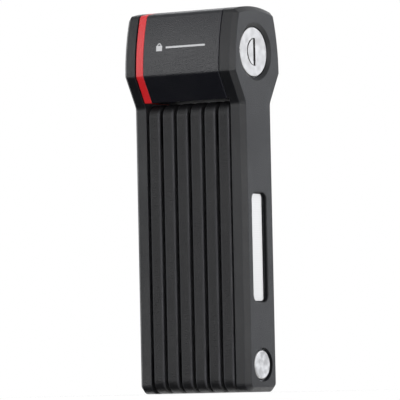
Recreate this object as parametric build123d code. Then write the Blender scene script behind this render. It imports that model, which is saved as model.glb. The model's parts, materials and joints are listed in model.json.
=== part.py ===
from build123d import *
import math
import os

# Folding bike lock: eight hinged steel bars stacked side by side along X, with
# the lock head across their top ends. Millimetres, +Z up. The origin is the
# middle of the stack's footprint, on the surface that the bar ends stand on.
# Bar 8 and the key are on the +X side, bar 1 on the -X side, the front is -Y.

os.makedirs("parts", exist_ok=True)

# ---------- driving dimensions: stack of bars ----------
WIDTH = 63.6             # outside of bar 1 to outside of bar 8
HEIGHT = 185.0           # bar ends to the crown of the head
BAR_DEPTH = 25.7         # front edge to back edge of a bar
BAR_PITCH = 8.0          # spacing of the six inner bars
INNER_THICK = 6.2
OUTER_THICK = 7.4
BAR_TOP = 139.8
PIVOT_INSET = 13.0       # pivot axis to the end of a bar
OUTER_CORNER = 4.5       # rounding of an outer bar's foot, seen from the side
INNER_CORNER = 6.5       # rounding of an inner bar's ends, seen from the side
BAR_EDGE = 1.0           # soft edge of the plastic sleeve
OUTER_CHAMFER = 2.3      # bevel round the outer bars' outside faces
SIDE_WALL = 1.8          # sleeve beside a bar's steel core
FACE_WALL = 1.1          # sleeve on the faces of a core
OUTSIDE_WALL = 2.4       # sleeve on the outside faces of bars 1 and 8

# ---------- driving dimensions: head, in the Y-Z outline ----------
HEAD_UNDER = 140.5       # underside, just above the inner bars
NECK_Z = 138.0           # where bars 1 and 8 start to widen into the head
WAIST_Z = 152.9          # widest place of the head
WAIST_HALF = 21.4
FLANK_Z = 168.0          # a place halfway up the bowed flank
FLANK_HALF = 20.3
SHOULDER_Z = 182.7       # corner of flank and crown
SHOULDER_HALF = 16.8
WAIST_ROUND = 2.5
SHOULDER_ROUND = 2.6
NECK_ROUND = 3.0
HEAD_RIGHT = 23.8        # seam between the housing and bar 8's end cap
HEAD_LEFT = -24.1        # left face of the accent ring
HOUSING_GAP = 0.4        # open seam beside bar 8's end cap
CAP_RELIEF = 0.4         # step that lets bar 1's wide end swing past the ring
RING_WIDTH = 4.1
HOUSING_WALL = 2.2
SEAM_CHAMFER = 0.25

# ---------- driving dimensions: hinges ----------
RIVET_R = 4.0
RUNNING = 0.05           # radial clearance of a running fit
AXIAL_PLAY = 0.1
RIVET_HEAD_R = 7.0
RIVET_HEAD_THICK = 0.9
SHOWN_HEAD_R = 7.2       # the rivet heads on the outside of bars 8 and 1
SHOWN_HEAD_THICK = 1.75
SLEEVE_HOLE_R = 7.6
SHOWN_HOLE_R = 8.1

# ---------- driving dimensions: reflectors ----------
STRIP_LOW_Z = 43.0
STRIP_HIGH_Z = 95.4
RECESS_WIDTH = 12.6
RECESS_Y = -0.8          # a little nearer the front
RECESS_DEPTH = 2.0
RECESS_CORNER = 3.6
RECESS_LIP = 0.5         # rounded edge of the recess
STRIP_END_GAP = 0.6      # strip to the recess, at its ends and at its sides
STRIP_SIDE_GAP = 2.0
STRIP_THICK = 0.4

# ---------- driving dimensions: cylinder and bolt ----------
CYL_Y = -1.2             # a little nearer the front
CYL_Z = 163.0
DISC_R = 11.9
DISC_THICK = 2.2
DISC_SUNK = 1.3          # the key disc's face below the end cap's face
DISH_R = 14.0            # shallow dish round the key disc
CAP_HOLE_R = 12.35
SLOT_LENGTH = 13.2
SLOT_WIDTH = 1.5
SLOT_Y = 1.1             # keyway beside the disc's centre
MOON_R = 6.7             # half-moon beside the keyway, with a crescent groove round it
MOON_SUNK = 0.2
CRESCENT_WIDTH = 1.3     # at its widest
CRESCENT_DEPTH = 1.1
FLANGE_R = 12.2
BODY_R = 11.0            # cylinder body
CAGE_R = 8.0
CAGE_BORE = 6.4
DETAINER_COUNT = 9
DETAINER_PITCH = 2.2
DETAINER_THICK = 1.6
BOLT_R = 4.5
BOLT_TRAVEL = 4.6        # for a quarter turn of the key
BOLT_NOSE = -23.9
BOLT_TAIL = -0.5
EYE_R = 4.8              # eye in bar 1 that the bolt enters
PIN_R = 1.25
PIN_HALF = 9.5
PIN_X = -4.0
GUIDE_X = -14.0          # the bolt's guide ends, the drive sleeve's chamber starts
CYL_BACK = 3.2           # inner end of the cylinder body
TURN = 90.0              # key's turn in degrees
M3_R = 1.5
M3_HEAD_R = 2.8
M3_HEAD_DEEP = 1.5
SCREW_LENGTH = 14.0
CASE_SCREW_LOW = (14.5, 152.3)      # Y and Z of the lower two case screws
CASE_SCREW_HIGH = (12.5, 176.8)

HALF = WIDTH / 2
PIVOT_LOW = PIVOT_INSET
PIVOT_HIGH = BAR_TOP - PIVOT_INSET
BARS = range(1, 9)
# parent bar, child bar and height of each hinge, from the head outwards
HINGES = [
    (8, 7, PIVOT_LOW),
    (7, 6, PIVOT_HIGH),
    (6, 5, PIVOT_LOW),
    (5, 4, PIVOT_HIGH),
    (4, 3, PIVOT_LOW),
    (3, 2, PIVOT_HIGH),
    (2, 1, PIVOT_LOW),
]


# ---------- helpers ----------
def bar_span(bar):
    """Lowest and highest X of a bar, sleeve included."""
    if bar == 1:
        return -HALF, -HALF + OUTER_THICK
    if bar == 8:
        return HALF - OUTER_THICK, HALF
    middle = (bar - 4.5) * BAR_PITCH
    return middle - INNER_THICK / 2, middle + INNER_THICK / 2


def core_span(bar):
    """Lowest and highest X of a bar's steel core."""
    low, high = bar_span(bar)
    low_wall = OUTSIDE_WALL if bar == 1 else FACE_WALL
    high_wall = OUTSIDE_WALL if bar == 8 else FACE_WALL
    return low + low_wall, high - high_wall


def prism(outline, x0, x1):
    """Y-Z outline extruded from x0 to x1."""
    return extrude(Plane.YZ.offset(x0) * outline, amount=x1 - x0)


def rod(radius, x0, x1, y=0.0, z=0.0):
    """Round bar along X."""
    return prism(Pos(y, z) * Circle(radius), x0, x1)


def cyl_rod(radius, x0, x1):
    """Round bar on the lock cylinder's axis."""
    return rod(radius, x0, x1, CYL_Y, CYL_Z)


def tube(outer, inner, x0, x1):
    """Tube on the lock cylinder's axis."""
    return cyl_rod(outer, x0, x1) - cyl_rod(inner, x0, x1)


def cone(r0, r1, x0, x1, y, z):
    """Cone along X with radius r0 at x0 and r1 at x1."""
    ends = [Plane.YZ.offset(x) * Pos(y, z) * Circle(r) for x, r in ((x0, r0), (x1, r1))]
    return loft(ends)


def box_at(x0, x1, y0, y1, z0, z1):
    """Block between two corners."""
    size = Box(x1 - x0, y1 - y0, z1 - z0)
    return Pos((x0 + x1) / 2, (y0 + y1) / 2, (z0 + z1) / 2) * size


def round_corners(outline, height, radius):
    """Fillet the outline's corners that lie at one height."""
    corners = [v for v in outline.vertices() if abs(v.Y - height) < 0.01]
    return fillet(corners, radius)


def mirrored(solid):
    """The same piece on the other end of the stack."""
    return mirror(solid, Plane.YZ)


def group(pieces):
    """Separate solids that share one node."""
    return Compound(children=[piece.solid() for piece in pieces])


def save(solid, node):
    """Write one node."""
    export_step(solid, "parts/" + node + ".step")
    print(node, round(solid.volume, 1))


# ---------- outlines, drawn as (Y, Z), each moved inwards by an inset ----------
BEVEL_RUN = WAIST_Z - NECK_Z
BEVEL_RISE = WAIST_HALF - BAR_DEPTH / 2
BEVEL_STRETCH = math.hypot(BEVEL_RUN, BEVEL_RISE) / BEVEL_RUN
SMALLEST_ROUND = 0.5


def bevel_half(z, inset):
    """Half depth of the head on its lower bevel."""
    return BAR_DEPTH / 2 + (z - NECK_Z) * BEVEL_RISE / BEVEL_RUN - inset * BEVEL_STRETCH


def corner_z(z, inset):
    """Height of a corner between the bevel and an upright side."""
    return z + inset * (BEVEL_STRETCH - 1) * BEVEL_RUN / BEVEL_RISE


def both_sides(half, z):
    """Point on the back side and its mirror image on the front side."""
    return (half, z), (-half, z)


def head_edges(start_z, inset):
    """Edges of the head from start_z on one bevel, over the crown, to the other."""
    start, end = both_sides(bevel_half(start_z, inset), start_z)
    waist, front_waist = both_sides(WAIST_HALF - inset, corner_z(WAIST_Z, inset))
    flank, front_flank = both_sides(FLANK_HALF - inset, FLANK_Z)
    shoulder, front_shoulder = both_sides(SHOULDER_HALF - inset, SHOULDER_Z - inset)
    return [
        Line(start, waist),
        ThreePointArc(waist, flank, shoulder),
        ThreePointArc(shoulder, (0, HEIGHT - inset), front_shoulder),
        ThreePointArc(front_shoulder, front_flank, front_waist),
        Line(front_waist, end),
    ]


def soften_head(outline, inset):
    """Round the waist and the shoulders."""
    waist_round = max(WAIST_ROUND - inset, SMALLEST_ROUND)
    shoulder_round = max(SHOULDER_ROUND - inset, SMALLEST_ROUND)
    outline = round_corners(outline, corner_z(WAIST_Z, inset), waist_round)
    return round_corners(outline, SHOULDER_Z - inset, shoulder_round)


def head_outline(inset=0.0):
    """Outline of the housing and of the accent ring."""
    base = HEAD_UNDER + inset
    right, left = both_sides(bevel_half(base, inset), base)
    return soften_head(make_face(head_edges(base, inset) + [Line(left, right)]), inset)


def outer_bar_outline(inset=0.0):
    """Outline of bars 1 and 8: a bar that widens into an end cap of the head."""
    neck_z = corner_z(NECK_Z, inset)
    neck, front_neck = both_sides(BAR_DEPTH / 2 - inset, neck_z)
    foot, front_foot = both_sides(BAR_DEPTH / 2 - inset, inset)
    edges = head_edges(neck_z, inset)
    edges += [Line(front_neck, front_foot), Line(front_foot, foot), Line(foot, neck)]
    outline = soften_head(make_face(edges), inset)
    outline = round_corners(outline, neck_z, NECK_ROUND + inset)
    return round_corners(outline, inset, OUTER_CORNER - inset)


def inner_bar_outline(inset=0.0):
    """Outline of an inner bar, or of its core."""
    width = BAR_DEPTH - 2 * inset
    length = BAR_TOP - 2 * inset
    return Pos(0, BAR_TOP / 2) * RectangleRounded(width, length, INNER_CORNER - inset)


# ---------- hinges ----------
def hinge_holes(bar):
    """Height and core radius of each hinge hole in a bar."""
    holes = []
    for parent, child, z in HINGES:
        if bar == parent:
            holes.append((z, RIVET_R))
        if bar == child:
            holes.append((z, RIVET_R + RUNNING))
    return holes


def hinge_rivet(parent, child, z):
    """Rivet held in the parent's core, with a running fit in the child's."""
    child_low, _ = core_span(child)
    _, parent_high = core_span(parent)
    shown_far = child == 1
    shown_near = parent == 8
    far_r, far_thick = (RIVET_HEAD_R, RIVET_HEAD_THICK - AXIAL_PLAY)
    near_r, near_thick = (RIVET_HEAD_R, RIVET_HEAD_THICK)
    if shown_far:
        far_r, far_thick = (SHOWN_HEAD_R, SHOWN_HEAD_THICK)
    if shown_near:
        near_r, near_thick = (SHOWN_HEAD_R, SHOWN_HEAD_THICK)
    far_face = child_low - AXIAL_PLAY
    shank = rod(RIVET_R, far_face, parent_high, 0, z)
    far_head = rod(far_r, far_face - far_thick, far_face, 0, z)
    near_head = rod(near_r, parent_high, parent_high + near_thick, 0, z)
    far_rim = far_head.faces().sort_by(Axis.X)[0].edges()
    near_rim = near_head.faces().sort_by(Axis.X)[-1].edges()
    far_head = fillet(far_rim, far_thick / 2)
    near_head = fillet(near_rim, near_thick / 2)
    return shank + far_head + near_head


def hinge_washer(parent, child, z):
    """Spacer between the two cores, round the rivet."""
    _, child_high = core_span(child)
    parent_low, _ = core_span(parent)
    x0 = child_high + AXIAL_PLAY
    ring = rod(RIVET_HEAD_R, x0, parent_low, 0, z)
    return ring - rod(RIVET_R, x0, parent_low, 0, z)


# ---------- inner bars 2 to 7 ----------
def inner_core(bar):
    """Hardened steel strip with its hinge holes."""
    x0, x1 = core_span(bar)
    core = prism(inner_bar_outline(SIDE_WALL), x0, x1)
    for z, radius in hinge_holes(bar):
        core -= rod(radius, x0, x1, 0, z)
    return core


def inner_cover(bar):
    """Moulded sleeve round a core, open at the hinges."""
    x0, x1 = bar_span(bar)
    sleeve = prism(inner_bar_outline(), x0, x1)
    rims = sleeve.faces().filter_by(Axis.X).edges()
    sleeve = fillet(rims, BAR_EDGE)
    sleeve -= prism(inner_bar_outline(SIDE_WALL), *core_span(bar))
    for z, _ in hinge_holes(bar):
        sleeve -= rod(SLEEVE_HOLE_R, x0, x1, 0, z)
    return sleeve


# ---------- outer bars 1 and 8, both drawn on the +X side ----------
def screw_places():
    """Y and Z of the four screws that hold the lock case to bar 8's core."""
    return [(side * y, z) for y, z in (CASE_SCREW_LOW, CASE_SCREW_HIGH) for side in (-1, 1)]


def screw_hole(y, z, face_x, length):
    """Countersunk screw, as a solid, with its head flush with face_x."""
    head = cone(M3_R, M3_HEAD_R, face_x - M3_HEAD_DEEP, face_x, y, z)
    return head + rod(M3_R, face_x - length, face_x - M3_HEAD_DEEP, y, z)


def outer_core_blank():
    """Core of bars 1 and 8 with no holes."""
    return prism(outer_bar_outline(SIDE_WALL), *core_span(8))


def bar_8_core():
    """Strip that carries the lock case and the cylinder in its wide end."""
    x0, x1 = core_span(8)
    core = outer_core_blank()
    core -= rod(RIVET_R, x0, x1, 0, PIVOT_LOW)
    core -= cyl_rod(FLANGE_R, x0, x1)
    for y, z in screw_places():
        core -= screw_hole(y, z, x1, SCREW_LENGTH)
    return core


def bar_1_core():
    """Strip with the eye for the locking bolt in its wide end."""
    x0, x1 = core_span(1)
    core = mirrored(outer_core_blank())
    core -= rod(RIVET_R + RUNNING, x0, x1, 0, PIVOT_LOW)
    return core - cyl_rod(EYE_R, x0, x1)


def recess_outline(side=0.0, end=0.0):
    """Outline of the reflector's recess, or of the strip in it."""
    width = RECESS_WIDTH - 2 * side
    length = STRIP_HIGH_Z - STRIP_LOW_Z - 2 * end
    middle = Pos(RECESS_Y, (STRIP_LOW_Z + STRIP_HIGH_Z) / 2)
    return middle * RectangleRounded(width, length, RECESS_CORNER - side)


def outer_cover_blank():
    """Sleeve of bars 1 and 8 with the reflector's recess and the rivet's hole."""
    x0, x1 = bar_span(8)
    sleeve = prism(outer_bar_outline(), x0, x1)
    outside_rim = sleeve.faces().sort_by(Axis.X)[-1].edges()
    sleeve = chamfer(outside_rim, OUTER_CHAMFER)
    floor = x1 - RECESS_DEPTH
    sleeve -= prism(recess_outline(), floor, x1)
    recess_rim = sleeve.faces().filter_by(Axis.X).sort_by(Axis.X)[-1].inner_wires()[0].edges()
    sleeve = fillet(recess_rim, RECESS_LIP)
    sleeve -= outer_core_blank()
    sleeve -= rod(SHOWN_HOLE_R, core_span(8)[1], x1, 0, PIVOT_LOW)
    return sleeve - rod(SLEEVE_HOLE_R, x0, core_span(8)[0], 0, PIVOT_LOW)


def bar_8_cover():
    """Sleeve whose top is the head's end cap, with the key disc's opening."""
    x0, x1 = bar_span(8)
    cap = prism(head_outline(), HEAD_RIGHT, x0)
    seam = cap.faces().sort_by(Axis.X)[0].edges()
    cap = chamfer(seam, SEAM_CHAMFER)
    room = head_outline(HOUSING_WALL)
    sleeve = outer_cover_blank() + cap
    sleeve -= prism(room, HEAD_RIGHT, core_span(8)[0])
    sleeve -= cyl_rod(CAP_HOLE_R, core_span(8)[1], x1)
    dish = cone(CAP_HOLE_R, DISH_R, x1 - DISC_SUNK, x1, CYL_Y, CYL_Z)
    return sleeve - dish


def bar_1_cover():
    """Sleeve whose top closes the head's left end, with the bolt's eye inside."""
    low, high = core_span(1)[1], bar_span(1)[1]
    sleeve = mirrored(outer_cover_blank()) - cyl_rod(EYE_R, low, high)
    return sleeve - prism(head_outline(), high - CAP_RELIEF, high)


def reflector():
    """White reflective strip in the recess of bar 8."""
    floor = HALF - RECESS_DEPTH
    return prism(recess_outline(STRIP_SIDE_GAP, STRIP_END_GAP), floor, floor + STRIP_THICK)


# ---------- head ----------
RING_X1 = HEAD_LEFT + RING_WIDTH
PLATE_INSET = 3.0
PLATE_SCREW_Y = 11.0
PLATE_SCREW_Z = 149.8
PLATE_SCREWS = [(side * PLATE_SCREW_Y, PLATE_SCREW_Z) for side in (-1, 1)]
PLATE_SCREW_LENGTH = 9.0


def head_housing():
    """Black shell of the head between the accent ring and bar 8's cap."""
    shell = prism(head_outline(), RING_X1, HEAD_RIGHT - HOUSING_GAP)
    rims = shell.faces().filter_by(Axis.X).edges()
    shell = chamfer(rims, SEAM_CHAMFER)
    return shell - prism(head_outline(HOUSING_WALL), RING_X1, HEAD_RIGHT)


def accent_ring():
    """Red band round the head's left end."""
    band = prism(head_outline(), HEAD_LEFT, RING_X1)
    rims = band.faces().filter_by(Axis.X).edges()
    band = chamfer(rims, SEAM_CHAMFER)
    return band - prism(head_outline(PLATE_INSET), HEAD_LEFT, RING_X1)


def bolt_plate():
    """Steel plate inside the band, with the bolt's hole."""
    plate = prism(head_outline(PLATE_INSET), HEAD_LEFT, RING_X1)
    plate -= cyl_rod(BOLT_R + RUNNING, HEAD_LEFT, RING_X1)
    for y, z in PLATE_SCREWS:
        plate -= mirrored(screw_hole(y, z, -HEAD_LEFT, PLATE_SCREW_LENGTH))
    return plate


def plate_screws():
    """Two screws that hold the bolt plate to the lock case."""
    return [mirrored(screw_hole(y, z, -HEAD_LEFT, PLATE_SCREW_LENGTH)) for y, z in PLATE_SCREWS]


def case_screws():
    """Four screws through bar 8's core into the lock case."""
    return [screw_hole(y, z, core_span(8)[1], SCREW_LENGTH) for y, z in screw_places()]


def lock_case():
    """Die-cast block with the cylinder's bore, the drive chamber and the bolt's guide."""
    x0, x1 = RING_X1, core_span(8)[0]
    block = prism(head_outline(HOUSING_WALL), x0, x1)
    block -= cyl_rod(BODY_R, CYL_BACK, x1)
    block -= cyl_rod(CAGE_R + 2 * RUNNING, GUIDE_X, CYL_BACK)
    block -= cyl_rod(BOLT_R + RUNNING, x0, GUIDE_X)
    slot_half = PIN_R + RUNNING
    slot_end = slot_half + 2 * RUNNING
    slot_reach = PIN_HALF + 2 * RUNNING
    block -= box_at(PIN_X - BOLT_TRAVEL - slot_end, PIN_X + slot_end,
                    CYL_Y - slot_half, CYL_Y + slot_half,
                    CYL_Z - slot_reach, CYL_Z + slot_reach)
    for screw in case_screws() + plate_screws():
        block -= screw
    return block


# ---------- cylinder ----------
CAGE_FRONT = HALF - DISC_SUNK - DISC_THICK
BODY_FRONT = CAGE_FRONT - 2 * AXIAL_PLAY
DISC_RIM_ROUND = 0.35
CAGE_WALL_END = CYL_BACK + 1.4      # the cage's rear wall, which the drive's tang fills
DISCS_START = 7.0
KEYWAY_HALF = 4.6                   # half length of the keyway in the detainer discs
SIDEBAR_START = DISCS_START - 0.6
SIDEBAR_END = DISCS_START + DETAINER_COUNT * DETAINER_PITCH
SIDEBAR_HALF = 1.0
SIDEBAR_LOW_R = 5.6
RING_GROOVE_X = 5.0
RING_GROOVE_WIDTH = 1.0
RING_INNER_R = 7.4
RING_OUTER_R = 8.9
RING_GAP_HALF = 2.0
SIDEBAR_LIFT = 1.2                   # room for the locked sidebar outside the cage
SIDEBAR_DROP = 0.15                  # free sidebar below the cage's surface
TANG_HALF = (1.5, 4.0)
BOLT_NOSE_BEVEL = 0.8
HELIX_CLEARANCE = 0.25
HELIX_STEPS = 20
SLEEVE_START = GUIDE_X + 0.5
SLEEVE_WALL_X = CYL_BACK - 2.2


def cylinder_body():
    """Fixed steel barrel with a front flange and a groove for the sidebar."""
    flange_x = core_span(8)[0]
    barrel = cyl_rod(BODY_R, CYL_BACK, flange_x) + cyl_rod(FLANGE_R, flange_x, BODY_FRONT)
    barrel -= cyl_rod(CAGE_R + RUNNING, CYL_BACK, BODY_FRONT)
    groove = box_at(SIDEBAR_START, SIDEBAR_END, CYL_Y - SIDEBAR_HALF, CYL_Y + SIDEBAR_HALF,
                    CYL_Z, CYL_Z + CAGE_R + SIDEBAR_LIFT)
    clip_room = tube(RING_OUTER_R + 2 * RUNNING, CAGE_R, RING_GROOVE_X - AXIAL_PLAY,
                     RING_GROOVE_X + RING_GROOVE_WIDTH + AXIAL_PLAY)
    return barrel - groove - clip_room


def key_disc():
    """Front disc that turns with the key, with the keyway and its half-moon."""
    disc = cyl_rod(DISC_R, CAGE_FRONT, CAGE_FRONT + DISC_THICK)
    rim = disc.faces().sort_by(Axis.X)[-1].edges()
    disc = fillet(rim, DISC_RIM_ROUND)
    top = CAGE_FRONT + DISC_THICK
    slot_y = CYL_Y + SLOT_Y
    beyond_slot = box_at(CAGE_FRONT, HALF, slot_y, slot_y + 2 * MOON_R,
                         CYL_Z - 2 * MOON_R, CYL_Z + 2 * MOON_R)
    moon = rod(MOON_R, top - MOON_SUNK, top, slot_y, CYL_Z) - beyond_slot
    floor = top - CRESCENT_DEPTH
    crescent = rod(MOON_R, floor, top, slot_y, CYL_Z) - beyond_slot
    crescent -= rod(MOON_R, floor, top, slot_y + CRESCENT_WIDTH, CYL_Z)
    keyway = box_at(CAGE_FRONT, HALF, slot_y - SLOT_WIDTH / 2, slot_y + SLOT_WIDTH / 2,
                    CYL_Z - SLOT_LENGTH / 2, CYL_Z + SLOT_LENGTH / 2)
    return disc - moon - crescent - keyway


def disc_cage():
    """Turning tube that holds the detainer discs, with the sidebar's slot."""
    cage = tube(CAGE_R, CAGE_BORE, CYL_BACK, CAGE_FRONT)
    cage += cyl_rod(CAGE_R, CYL_BACK, CAGE_WALL_END)
    cage -= tube(CAGE_R, RING_INNER_R, RING_GROOVE_X, RING_GROOVE_X + RING_GROOVE_WIDTH)
    cage -= box_at(SIDEBAR_START, SIDEBAR_END, CYL_Y - SIDEBAR_HALF, CYL_Y + SIDEBAR_HALF,
                   CYL_Z, CYL_Z + CAGE_R)
    half_y, half_z = TANG_HALF
    return cage - box_at(CYL_BACK, CAGE_WALL_END, CYL_Y - half_y, CYL_Y + half_y,
                         CYL_Z - half_z, CYL_Z + half_z)


def detainer_discs():
    """Stack of brass discs with keyways, their gates lined up under the sidebar."""
    discs = []
    for i in range(DETAINER_COUNT):
        x0 = DISCS_START + i * DETAINER_PITCH
        x1 = x0 + DETAINER_THICK
        disc = cyl_rod(CAGE_BORE - RUNNING, x0, x1)
        disc -= box_at(x0, x1, CYL_Y + SLOT_Y - SLOT_WIDTH / 2, CYL_Y + SLOT_Y + SLOT_WIDTH / 2,
                       CYL_Z - KEYWAY_HALF, CYL_Z + KEYWAY_HALF)
        disc -= box_at(x0, x1, CYL_Y - SIDEBAR_HALF, CYL_Y + SIDEBAR_HALF,
                       CYL_Z + SIDEBAR_LOW_R, CYL_Z + CAGE_BORE)
        discs.append(disc)
    return discs


def sidebar():
    """Bar that has dropped into the discs' gates, so that the cage can turn."""
    return box_at(SIDEBAR_START, SIDEBAR_END, CYL_Y - SIDEBAR_HALF, CYL_Y + SIDEBAR_HALF,
                  CYL_Z + SIDEBAR_LOW_R, CYL_Z + CAGE_R - SIDEBAR_DROP)


def cage_retaining_ring():
    """Snap ring that keeps the cage in the cylinder body."""
    ring = tube(RING_OUTER_R, RING_INNER_R, RING_GROOVE_X, RING_GROOVE_X + RING_GROOVE_WIDTH)
    gap = box_at(RING_GROOVE_X, RING_GROOVE_X + RING_GROOVE_WIDTH,
                 CYL_Y - RING_GAP_HALF, CYL_Y + RING_GAP_HALF,
                 CYL_Z - 2 * RING_OUTER_R, CYL_Z)
    return ring - gap


def drive_sleeve():
    """Sleeve turned by the cage, with two helical slots that drive the cross pin."""
    sleeve = tube(CAGE_R, BOLT_R + 2 * RUNNING, SLEEVE_START, SLEEVE_WALL_X)
    sleeve += cyl_rod(CAGE_R, SLEEVE_WALL_X, CYL_BACK)
    half_y, half_z = TANG_HALF
    sleeve += box_at(CYL_BACK, CAGE_WALL_END, CYL_Y - half_y, CYL_Y + half_y,
                     CYL_Z - half_z, CYL_Z + half_z)
    cutter = Cylinder(PIN_R + HELIX_CLEARANCE, 4 * CAGE_R)
    for i in range(HELIX_STEPS + 1):
        turned = i / HELIX_STEPS
        place = Pos(PIN_X - BOLT_TRAVEL * turned, CYL_Y, CYL_Z) * Rot(TURN * turned, 0, 0)
        sleeve -= place * cutter
    return sleeve


def locking_bolt():
    """Round bolt that slides out of the head's left end into bar 1's eye."""
    bolt = cyl_rod(BOLT_R, BOLT_NOSE, BOLT_TAIL)
    bolt = chamfer(bolt.faces().sort_by(Axis.X)[0].edges(), BOLT_NOSE_BEVEL)
    return bolt - Pos(PIN_X, CYL_Y, CYL_Z) * Cylinder(PIN_R, 4 * BOLT_R)


def bolt_cross_pin():
    """Pin across the bolt, guided by straight slots in the case."""
    return Pos(PIN_X, CYL_Y, CYL_Z) * Cylinder(PIN_R, 2 * PIN_HALF)


# ---------- all nodes ----------
def write_bars():
    """Cores and sleeves of the eight bars."""
    for bar in BARS:
        if bar == 1:
            core, cover = bar_1_core(), bar_1_cover()
        elif bar == 8:
            core, cover = bar_8_core(), bar_8_cover()
        else:
            core, cover = inner_core(bar), inner_cover(bar)
        save(core, "bar_%d_core" % bar)
        save(cover, "bar_%d_cover" % bar)


def write_hinges():
    """Rivet and washer of each hinge, named by its two bars."""
    for parent, child, z in HINGES:
        save(hinge_rivet(parent, child, z), "hinge_rivet_%d_%d" % (parent, child))
        save(hinge_washer(parent, child, z), "hinge_washer_%d_%d" % (parent, child))


def write_head():
    """Everything in the lock head."""
    save(reflector(), "reflector_right")
    save(mirrored(reflector()), "reflector_left")
    save(head_housing(), "head_housing")
    save(accent_ring(), "accent_ring")
    save(bolt_plate(), "bolt_plate")
    save(group(plate_screws()), "plate_screws")
    save(lock_case(), "lock_case")
    save(group(case_screws()), "case_screws")
    save(cylinder_body(), "cylinder_body")
    save(key_disc(), "key_disc")
    save(disc_cage(), "disc_cage")
    save(group(detainer_discs()), "detainer_discs")
    save(sidebar(), "sidebar")
    save(cage_retaining_ring(), "cage_retaining_ring")
    save(drive_sleeve(), "drive_sleeve")
    save(locking_bolt(), "locking_bolt")
    save(bolt_cross_pin(), "bolt_cross_pin")


write_bars()
write_hinges()
write_head()
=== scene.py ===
import json
import math

import bmesh
import bpy
from mathutils import Matrix, Vector


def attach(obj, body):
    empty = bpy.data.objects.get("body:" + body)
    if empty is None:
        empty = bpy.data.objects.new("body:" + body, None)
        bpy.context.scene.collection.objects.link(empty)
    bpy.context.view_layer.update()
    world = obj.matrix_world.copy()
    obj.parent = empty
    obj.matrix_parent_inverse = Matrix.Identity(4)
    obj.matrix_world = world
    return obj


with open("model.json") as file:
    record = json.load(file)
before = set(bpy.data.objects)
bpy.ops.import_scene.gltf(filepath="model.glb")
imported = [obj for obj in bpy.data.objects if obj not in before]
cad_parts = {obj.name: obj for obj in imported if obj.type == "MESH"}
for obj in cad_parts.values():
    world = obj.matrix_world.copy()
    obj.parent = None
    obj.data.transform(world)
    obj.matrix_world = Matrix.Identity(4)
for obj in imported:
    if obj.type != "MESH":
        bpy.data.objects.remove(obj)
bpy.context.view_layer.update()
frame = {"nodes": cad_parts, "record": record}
scene = bpy.context.scene
NODES = frame["nodes"]


# ---------- camera: long lens, the key side 33 degrees to the right of the front ----------
LENS = 372.3
SENSOR = 36.0
AZIMUTH = math.radians(33.35)
ELEVATION = math.radians(-2.635)
ROLL = math.radians(-1.195)
DISTANCE = 1.9981
AIM = Vector((0.0, 0.0, 0.092))     # middle of the lock
SLIDE_RIGHT = -0.00223   # shift of the camera that leaves its direction alone
SLIDE_UP = 0.00116
CLIP = (0.1, 20.0)


def make_camera():
    """Camera at the reference view, just above the level of the floor."""
    back = Vector((
        math.sin(AZIMUTH) * math.cos(ELEVATION),
        -math.cos(AZIMUTH) * math.cos(ELEVATION),
        math.sin(ELEVATION)))
    right = Vector((math.cos(AZIMUTH), math.sin(AZIMUTH), 0.0))
    up = back.cross(right)
    turned_right = right * math.cos(ROLL) + up * math.sin(ROLL)
    turned_up = up * math.cos(ROLL) - right * math.sin(ROLL)
    data = bpy.data.cameras.new("camera")
    data.lens = LENS
    data.sensor_width = SENSOR
    data.clip_start, data.clip_end = CLIP
    camera = bpy.data.objects.new("camera", data)
    scene.collection.objects.link(camera)
    turn = Matrix((turned_right, turned_up, back)).transposed()
    place = AIM + back * DISTANCE + turned_right * SLIDE_RIGHT + turned_up * SLIDE_UP
    camera.matrix_world = Matrix.Translation(place) @ turn.to_4x4()
    scene.camera = camera


make_camera()


# ---------- studio ----------
FLOOR_RADIUS = 0.13
FLOOR_SOLID = 0.06       # the floor fades out from here to its rim
FLOOR_STEPS = 96
FLOOR_DROP = 0.0002      # just under the lock's foot
FLOOR_PAINT = 0.55
FLOOR_GLOW = 0.4         # a floor lit from below, like a light table
SKY_STRENGTH = 1.3
SKY_TINT = (0.965, 0.98, 1.0)
# the white floor behind and to the right: where it fades in, along SWEEP_WAY and going down
SWEEP_WAY = (0.4, 1.0, 0.0)
SWEEP_BACK = (-0.12, 0.18)
SWEEP_DOWN = (-0.12, -0.45)
SWEEP_LEVEL = 1.3
# how bright the studio is in a direction, from 0, straight down, to 1, straight up
SKY_LEVELS = [
    (0.34, 0.005),
    (0.46, 0.30),
    (0.54, 1.00),
    (0.68, 0.85),
    (1.00, 0.30),
]
WHITE = (1, 1, 1)
COOL_WHITE = (0.90, 0.93, 1.0)
# name, place, width and height in metres, power in watts, colour
LIGHTS = [
    ("right_back", (1.3, 1.8, 0.45), (1.4, 1.2), 8.5, COOL_WHITE),
    ("front_right", (1.8, -1.2, 0.35), (0.9, 1.2), 26.0, WHITE),
    ("front_left", (-1.25, -1.8, 0.5), (1.5, 1.2), 17.0, WHITE),
    ("top", (0.2, 0.1, 2.0), (1.6, 1.6), 5.0, WHITE),
]


def area_light(name, place, size, power, color):
    """Soft rectangular light that faces the middle of the lock."""
    data = bpy.data.lights.new(name, "AREA")
    data.shape = "RECTANGLE"
    data.size = size[0]
    data.size_y = size[1]
    data.energy = power
    data.color = color
    lamp = bpy.data.objects.new(name, data)
    scene.collection.objects.link(lamp)
    lamp.location = place
    lamp.rotation_mode = "QUATERNION"
    lamp.rotation_quaternion = (Vector(place) - AIM).to_track_quat("Z", "Y")


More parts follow.
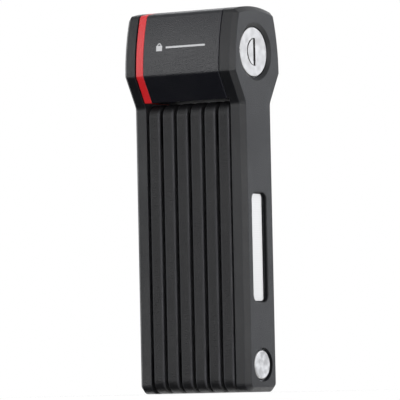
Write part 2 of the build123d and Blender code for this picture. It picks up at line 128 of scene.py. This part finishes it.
def make_world():
    """White for the camera. For light, a sky brightest at the horizon and a white floor behind."""
    world = bpy.data.worlds.new("studio")
    scene.world = world
    world.use_nodes = True
    tree = world.node_tree
    tree.nodes.clear()
    coords = tree.nodes.new("ShaderNodeTexCoord")
    split = tree.nodes.new("ShaderNodeSeparateXYZ")
    height = tree.nodes.new("ShaderNodeMapRange")
    height.inputs["From Min"].default_value = -1.0
    ramp = tree.nodes.new("ShaderNodeValToRGB")
    ramp.color_ramp.interpolation = "EASE"
    elements = ramp.color_ramp.elements
    while len(elements) < len(SKY_LEVELS):
        elements.new(0.5)
    for element, (position, level) in zip(elements, SKY_LEVELS):
        element.position = position
        element.color = [level * tint for tint in SKY_TINT] + [1]
    along = tree.nodes.new("ShaderNodeVectorMath")
    along.operation = "DOT_PRODUCT"
    along.inputs[1].default_value = SWEEP_WAY
    tree.links.new(coords.outputs["Generated"], along.inputs[0])
    sweep = tree.nodes.new("ShaderNodeMath")
    sweep.operation = "MULTIPLY"
    for socket, value, (start, end), level in (
            (0, along.outputs["Value"], SWEEP_BACK, SWEEP_LEVEL),
            (1, split.outputs["Z"], SWEEP_DOWN, 1.0)):
        fade = tree.nodes.new("ShaderNodeMapRange")
        fade.interpolation_type = "SMOOTHSTEP"
        fade.inputs["From Min"].default_value = start
        fade.inputs["From Max"].default_value = end
        fade.inputs["To Max"].default_value = level
        tree.links.new(value, fade.inputs["Value"])
        tree.links.new(fade.outputs["Result"], sweep.inputs[socket])
    brightest = tree.nodes.new("ShaderNodeMix")
    brightest.data_type = "RGBA"
    brightest.blend_type = "LIGHTEN"
    brightest.inputs["Factor"].default_value = 1.0
    sky = tree.nodes.new("ShaderNodeBackground")
    white = tree.nodes.new("ShaderNodeBackground")
    path = tree.nodes.new("ShaderNodeLightPath")
    mix = tree.nodes.new("ShaderNodeMixShader")
    out = tree.nodes.new("ShaderNodeOutputWorld")
    sky.inputs["Strength"].default_value = SKY_STRENGTH
    white.inputs["Color"].default_value = (1, 1, 1, 1)
    tree.links.new(coords.outputs["Generated"], split.inputs[0])
    tree.links.new(split.outputs["Z"], height.inputs["Value"])
    tree.links.new(height.outputs["Result"], ramp.inputs["Fac"])
    tree.links.new(ramp.outputs["Color"], brightest.inputs["A"])
    tree.links.new(sweep.outputs[0], brightest.inputs["B"])
    tree.links.new(brightest.outputs["Result"], sky.inputs["Color"])
    tree.links.new(path.outputs["Is Camera Ray"], mix.inputs[0])
    tree.links.new(sky.outputs[0], mix.inputs[1])
    tree.links.new(white.outputs[0], mix.inputs[2])
    tree.links.new(mix.outputs[0], out.inputs[0])


def make_floor():
    """Pale round floor that fades out at its rim and isn't mirrored in glossy surfaces."""
    mesh = bpy.data.meshes.new("floor")
    ring = []
    for i in range(FLOOR_STEPS):
        turn = 2 * math.pi * i / FLOOR_STEPS
        ring.append((FLOOR_RADIUS * math.cos(turn), FLOOR_RADIUS * math.sin(turn), -FLOOR_DROP))
    mesh.from_pydata(ring, [], [range(FLOOR_STEPS)])
    floor = bpy.data.objects.new("floor", mesh)
    scene.collection.objects.link(floor)
    material = bpy.data.materials.new("floor")
    material.use_nodes = True
    nodes, links = material.node_tree.nodes, material.node_tree.links
    nodes.clear()
    coords = nodes.new("ShaderNodeTexCoord")
    length = nodes.new("ShaderNodeVectorMath")
    length.operation = "LENGTH"
    fade = nodes.new("ShaderNodeMapRange")
    fade.interpolation_type = "SMOOTHSTEP"
    fade.inputs["From Min"].default_value = FLOOR_SOLID
    fade.inputs["From Max"].default_value = FLOOR_RADIUS
    paint = nodes.new("ShaderNodeBsdfDiffuse")
    paint.inputs["Color"].default_value = (FLOOR_PAINT, FLOOR_PAINT, FLOOR_PAINT, 1)
    glow = nodes.new("ShaderNodeEmission")
    glow.inputs["Strength"].default_value = FLOOR_GLOW
    lit = nodes.new("ShaderNodeAddShader")
    clear = nodes.new("ShaderNodeBsdfTransparent")
    path = nodes.new("ShaderNodeLightPath")
    hidden = nodes.new("ShaderNodeMath")
    hidden.operation = "MAXIMUM"
    mix = nodes.new("ShaderNodeMixShader")
    out = nodes.new("ShaderNodeOutputMaterial")
    links.new(coords.outputs["Object"], length.inputs[0])
    links.new(length.outputs["Value"], fade.inputs["Value"])
    links.new(fade.outputs["Result"], hidden.inputs[0])
    links.new(path.outputs["Is Glossy Ray"], hidden.inputs[1])
    links.new(hidden.outputs[0], mix.inputs[0])
    links.new(paint.outputs[0], lit.inputs[0])
    links.new(glow.outputs[0], lit.inputs[1])
    links.new(lit.outputs[0], mix.inputs[1])
    links.new(clear.outputs[0], mix.inputs[2])
    links.new(mix.outputs[0], out.inputs["Surface"])
    mesh.materials.append(material)


make_world()
make_floor()
for light in LIGHTS:
    area_light(*light)
scene.view_settings.view_transform = "Standard"
scene.view_settings.look = "None"


# ---------- materials ----------
BEVEL_SAMPLES = 4
# a surface gets the painted edge highlight where its rounded normal turns this far, as a cosine
HIGHLIGHT_COSINES = (0.86, 0.995)
# how far from the middle of its own box the painted highlight on a bar's upright edge starts and is
# full
LONG_EDGES = (("X", 0.30, 0.42), ("Y", 0.44, 0.475))


class Shader:
    """Small helper that builds one principled material from the object's own coordinates."""

    def __init__(self, name, color, roughness, metallic=0.0):
        self.material = bpy.data.materials.new(name)
        self.material.use_nodes = True
        self.nodes = self.material.node_tree.nodes
        self.links = self.material.node_tree.links
        self.shader = self.nodes["Principled BSDF"]
        self.shader.inputs["Metallic"].default_value = metallic
        self.color = (*color, 1.0)
        self.shader.inputs["Base Color"].default_value = self.color
        self.shader.inputs["Roughness"].default_value = roughness
        self.coords = self.nodes.new("ShaderNodeTexCoord").outputs["Object"]

    def stretched(self, scale):
        """Coordinates stretched by a scale for each axis."""
        mapping = self.nodes.new("ShaderNodeMapping")
        mapping.inputs["Scale"].default_value = scale
        self.links.new(self.coords, mapping.inputs["Vector"])
        return mapping.outputs["Vector"]

    def noise(self, scale, detail, vector=None):
        """Noise with features of about 1 / scale metres."""
        node = self.nodes.new("ShaderNodeTexNoise")
        node.inputs["Scale"].default_value = scale
        node.inputs["Detail"].default_value = detail
        self.links.new(vector or self.coords, node.inputs["Vector"])
        return node.outputs["Fac"]

    def spread(self, value, low, high, start=0.3, end=0.7):
        """Value from start..end spread over low..high."""
        node = self.nodes.new("ShaderNodeMapRange")
        node.inputs["From Min"].default_value = start
        node.inputs["From Max"].default_value = end
        node.inputs["To Min"].default_value = low
        node.inputs["To Max"].default_value = high
        self.links.new(value, node.inputs["Value"])
        return node.outputs["Result"]

    def math(self, operation, a, b):
        """One sum on two values, either of which may be a number."""
        node = self.nodes.new("ShaderNodeMath")
        node.operation = operation
        for socket, value in zip(node.inputs, (a, b)):
            if isinstance(value, (int, float)):
                socket.default_value = value
            else:
                self.links.new(value, socket)
        return node.outputs[0]

    def tint(self, factor, brighter):
        """Base colour that goes towards a brighter or darker copy of itself."""
        node = self.nodes.new("ShaderNodeMix")
        node.data_type = "RGBA"
        other = tuple(min(1.0, c * brighter) for c in self.color[:3]) + (1.0,)
        node.inputs["A"].default_value = self.color
        node.inputs["B"].default_value = other
        self.links.new(factor, node.inputs["Factor"])
        self.links.new(node.outputs["Result"], self.shader.inputs["Base Color"])

    def bump(self, height, strength, distance):
        """Surface relief on top of softened edges."""
        node = self.nodes.new("ShaderNodeBump")
        node.inputs["Strength"].default_value = strength
        node.inputs["Distance"].default_value = distance
        self.links.new(height, node.inputs["Height"])
        self.links.new(node.outputs["Normal"], self.shader.inputs["Normal"])
        return node

    def soft_edges(self, bump, radius):
        """Edges that shade as if rounded."""
        node = self.nodes.new("ShaderNodeBevel")
        node.samples = BEVEL_SAMPLES
        node.inputs["Radius"].default_value = radius
        self.links.new(node.outputs["Normal"], bump.inputs["Normal"])
        return node.outputs["Normal"]

    def long_edges(self):
        """1 along the upright edges of a bar, from its own box, 0 elsewhere."""
        generated = self.nodes["Texture Coordinate"].outputs["Generated"]
        split = self.nodes.new("ShaderNodeSeparateXYZ")
        self.links.new(generated, split.inputs[0])
        sides = []
        for axis, start, end in LONG_EDGES:
            from_middle = self.math("ABSOLUTE", self.math("SUBTRACT", split.outputs[axis], 0.5), 0.0)
            sides.append(self.spread(from_middle, 0.0, 1.0, start, end))
        return self.math("MULTIPLY", sides[0], sides[1])

    def edge_highlight_mask(self, rounded):
        """Mask of the painted edge highlight: 1 on edges, 0 on flats, from the rounded normal
        against the true one.
        """
        geometry = self.nodes.new("ShaderNodeNewGeometry")
        dot = self.nodes.new("ShaderNodeVectorMath")
        dot.operation = "DOT_PRODUCT"
        self.links.new(rounded, dot.inputs[0])
        self.links.new(geometry.outputs["Normal"], dot.inputs[1])
        return self.spread(dot.outputs["Value"], 1.0, 0.0, *HIGHLIGHT_COSINES)


EDGE_HIGHLIGHT_GAIN = 11.0     # painted highlight colour of an edge against the black
GRAIN_DEPTH = 0.45       # depth of the moulded texture, as a share of its grain size
GRAIN_GLINT = 0.25        # painted glints: share of the highlight colour on the tops of the grain
PLASTIC_CLOUDS = 45.0    # noise scale of the uneven gloss
PLASTIC_GLOSS = (-0.05, 0.06)       # change of roughness across the clouds
# least share of the painted edge highlight, spread over the gloss clouds
LEAST_EDGE_HIGHLIGHT = 0.3
EDGE_SHINE = -0.12       # change of roughness on an edge under the painted highlight
METAL_MARKS = 9000.0     # noise scale of the turning marks
ALONG_MARKS = (0.02, 1.0, 1.0)      # they run along X
MARK_BUMP = (0.12, 0.00004)         # strength and depth
METAL_CLOUDS = 300.0
METAL_GLOSS = (-0.07, 0.08)
METAL_EDGE = 0.0002
CLOUD_BAND = (0.4, 0.6)  # part of a noise's range that a blotch fades over
INK_SPECKLE = 3000.0
INK_BUMP = (0.3, 0.00005)
INK_SHADE = 0.85
CUBE_SCALE = 900.0       # reflector film, in cells to the metre
CUBE_RANDOM = 0.15
CUBE_WALL = 0.12
CUBE_WALL_SHADE = 0.86
CUBE_BUMP = (0.25, 0.00006)


def moulded_plastic(name, color, roughness, grain, edge=0.00045, specular=0.5,
                    brighter=EDGE_HIGHLIGHT_GAIN, highlit_sides=False):
    """Fine spark-eroded texture, cloudy gloss, edges painted a little lighter as a highlight."""
    s = Shader(name, color, roughness)
    s.shader.inputs["Specular IOR Level"].default_value = specular
    texture = s.noise(grain, detail=3.0)
    clouds = s.noise(PLASTIC_CLOUDS, detail=5.0)
    bump = s.bump(texture, 1.0, GRAIN_DEPTH / grain)
    rounded = s.soft_edges(bump, edge)
    edge_light = s.edge_highlight_mask(rounded)
    # painted highlight along a bar's upright edges as well
    if highlit_sides:
        edge_light = s.math("MAXIMUM", edge_light, s.long_edges())
    edge_light = s.math("MULTIPLY", edge_light, s.spread(clouds, LEAST_EDGE_HIGHLIGHT, 1.0))
    # painted highlight: the edges, and the grain tops as painted glints, take a lighter copy of the
    # colour
    s.tint(s.math("ADD", edge_light, s.math("MULTIPLY", texture, GRAIN_GLINT)), brighter)
    gloss = s.spread(clouds, *(roughness + change for change in PLASTIC_GLOSS))
    edge_gloss = s.math("MULTIPLY", edge_light, EDGE_SHINE)
    s.links.new(s.math("ADD", gloss, edge_gloss), s.shader.inputs["Roughness"])
    return s.material


def turned_metal(name, color, roughness, blotches=0.05):
    """Metal with fine turning marks and a cloudy satin finish."""
    s = Shader(name, color, roughness, metallic=1.0)
    marks = s.noise(METAL_MARKS, detail=2.0, vector=s.stretched(ALONG_MARKS))
    clouds = s.noise(METAL_CLOUDS, detail=6.0)
    bump = s.bump(marks, *MARK_BUMP)
    s.soft_edges(bump, METAL_EDGE)
    s.tint(s.spread(clouds, 0.0, 1.0, *CLOUD_BAND), 1.0 - blotches)
    gloss = s.spread(clouds, *(roughness + change for change in METAL_GLOSS))
    s.links.new(gloss, s.shader.inputs["Roughness"])
    return s.material


def printed_ink(name):
    """Light grey ink of the printed sign."""
    s = Shader(name, (0.50, 0.50, 0.51), 0.45)
    speckle = s.noise(INK_SPECKLE, detail=2.0)
    s.bump(speckle, *INK_BUMP)
    s.tint(speckle, INK_SHADE)
    return s.material


def reflective_strip(name):
    """White prismatic film: rows of tiny corner cubes under a clear face."""
    s = Shader(name, (0.515, 0.51, 0.505), 0.32)
    cells = s.nodes.new("ShaderNodeTexVoronoi")
    cells.feature = "DISTANCE_TO_EDGE"
    cells.inputs["Scale"].default_value = CUBE_SCALE
    cells.inputs["Randomness"].default_value = CUBE_RANDOM
    s.links.new(s.coords, cells.inputs["Vector"])
    walls = s.spread(cells.outputs["Distance"], 0.0, 1.0, 0.0, CUBE_WALL)
    s.bump(walls, *CUBE_BUMP)
    s.tint(s.math("SUBTRACT", 1.0, walls), CUBE_WALL_SHADE)
    s.shader.inputs["Coat Weight"].default_value = 0.6
    s.shader.inputs["Coat Roughness"].default_value = 0.12
    return s.material


def make_materials():
    """One material for each slot of the record."""
    return {
        "bar_sleeve": moulded_plastic(
            "bar_sleeve", (0.0024, 0.0024, 0.0027), 0.40, 1900.0,
            specular=0.24, highlit_sides=True),
        "outer_sleeve": moulded_plastic(
            "outer_sleeve", (0.0024, 0.0025, 0.0030), 0.38, 2400.0, specular=0.32),
        "head_plastic": moulded_plastic(
            "head_plastic", (0.0022, 0.0023, 0.0034), 0.32, 2000.0, specular=0.44),
        "accent_red": moulded_plastic(
            "accent_red", (0.54, 0.012, 0.016), 0.36, 2200.0, edge=0.0002, brighter=1.2),
        "washer_plastic": moulded_plastic(
            "washer_plastic", (0.01, 0.01, 0.01), 0.4, 3000.0, edge=0.0001),
        "reflective_white": reflective_strip("reflective_white"),
        "rivet_steel": turned_metal("rivet_steel", (0.45, 0.445, 0.44), 0.36, blotches=0.28),
        "key_disc_satin": turned_metal("key_disc_satin", (0.395, 0.39, 0.385), 0.4),
        "bar_steel": turned_metal("bar_steel", (0.42, 0.43, 0.45), 0.45),
        "plate_steel": turned_metal("plate_steel", (0.35, 0.355, 0.37), 0.45),
        "screw_steel": turned_metal("screw_steel", (0.5, 0.5, 0.51), 0.35),
        "zinc_die_cast": turned_metal("zinc_die_cast", (0.4, 0.4, 0.41), 0.55),
        "cylinder_steel": turned_metal("cylinder_steel", (0.55, 0.55, 0.56), 0.35),
        "detainer_brass": turned_metal("detainer_brass", (0.72, 0.52, 0.22), 0.35),
        "spring_steel": turned_metal("spring_steel", (0.2, 0.2, 0.21), 0.4),
        "bolt_steel": turned_metal("bolt_steel", (0.66, 0.66, 0.67), 0.22),
    }


SMOOTHER_SLEEVES = ("bar_1_cover", "bar_8_cover")


def dress_nodes():
    """Every CAD node gets the material of its slot, the two outer sleeves a smoother one."""
    materials = make_materials()
    for part in frame["record"]["subparts"]:
        node = NODES[part["node"]]
        slot = "outer_sleeve" if part["node"] in SMOOTHER_SLEEVES else part["material_slot"]
        node.data.materials.clear()
        node.data.materials.append(materials[slot])


dress_nodes()


# ---------- printed sign on the head's front ----------
SIGN_X = -0.0125         # left end of the sign
SIGN_Z = 0.1663          # its middle
SIGN_LIFT = 0.00004      # thickness of the print
LOCK_WIDTH = 0.0034
LOCK_HEIGHT = 0.0026
LOCK_BELOW = 0.6         # share of the padlock's body below the sign's middle
SHACKLE_R = 0.0012       # outside of the half ring
SHACKLE_THICK = 0.0005
SHACKLE_STEPS = 12
STRIPE_START = 0.0055
STRIPE_LENGTH = 0.0225
STRIPE_HEIGHT = 0.0009
SIGN_STEP = 0.0005       # longest piece of the print
WELD = 0.00001           # corners closer than this become one


def strip_between(low_line, high_line):
    """Quads between two lines of the same number of points, as a list of corners."""
    quads = []
    for i in range(len(low_line) - 1):
        quads.append((low_line[i], low_line[i + 1], high_line[i + 1], high_line[i]))
    return quads


def block(x0, x1, z0, z1):
    """Rectangle in the sign's plane, cut into short pieces."""
    steps = max(1, round((x1 - x0) / SIGN_STEP))
    xs = [x0 + (x1 - x0) * i / steps for i in range(steps + 1)]
    return strip_between([(x, z0) for x in xs], [(x, z1) for x in xs])


def shackle(x, z):
    """Half ring above the padlock's body."""
    lines = []
    for radius in (SHACKLE_R, SHACKLE_R - SHACKLE_THICK):
        turns = [math.pi * i / SHACKLE_STEPS for i in range(SHACKLE_STEPS + 1)]
        lines.append([(x + radius * math.cos(t), z + radius * math.sin(t)) for t in turns])
    return strip_between(*lines)


def make_sign():
    """Small padlock and a plain stripe, printed on the housing's bowed front."""
    body_low = SIGN_Z - LOCK_BELOW * LOCK_HEIGHT
    body_high = body_low + LOCK_HEIGHT
    quads = block(SIGN_X, SIGN_X + LOCK_WIDTH, body_low, body_high)
    quads += shackle(SIGN_X + LOCK_WIDTH / 2, body_high)
    stripe_x = SIGN_X + STRIPE_START
    quads += block(stripe_x, stripe_x + STRIPE_LENGTH,
                   SIGN_Z - STRIPE_HEIGHT / 2, SIGN_Z + STRIPE_HEIGHT / 2)
    housing = NODES["head_housing"]
    sheet = bmesh.new()
    for quad in quads:
        corners = []
        for x, z in quad:
            _, spot, normal, _ = housing.ray_cast(Vector((x, -1.0, z)), Vector((0, 1, 0)))
            corners.append(sheet.verts.new(spot + normal * SIGN_LIFT))
        sheet.faces.new(corners)
    bmesh.ops.remove_doubles(sheet, verts=sheet.verts, dist=WELD)
    bmesh.ops.recalc_face_normals(sheet, faces=sheet.faces)
    mesh = bpy.data.meshes.new("printed_sign")
    sheet.to_mesh(mesh)
    sheet.free()
    sign = bpy.data.objects.new("printed_sign", mesh)
    scene.collection.objects.link(sign)
    mesh.materials.append(printed_ink("printed_ink"))
    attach(sign, "lock_head")


make_sign()
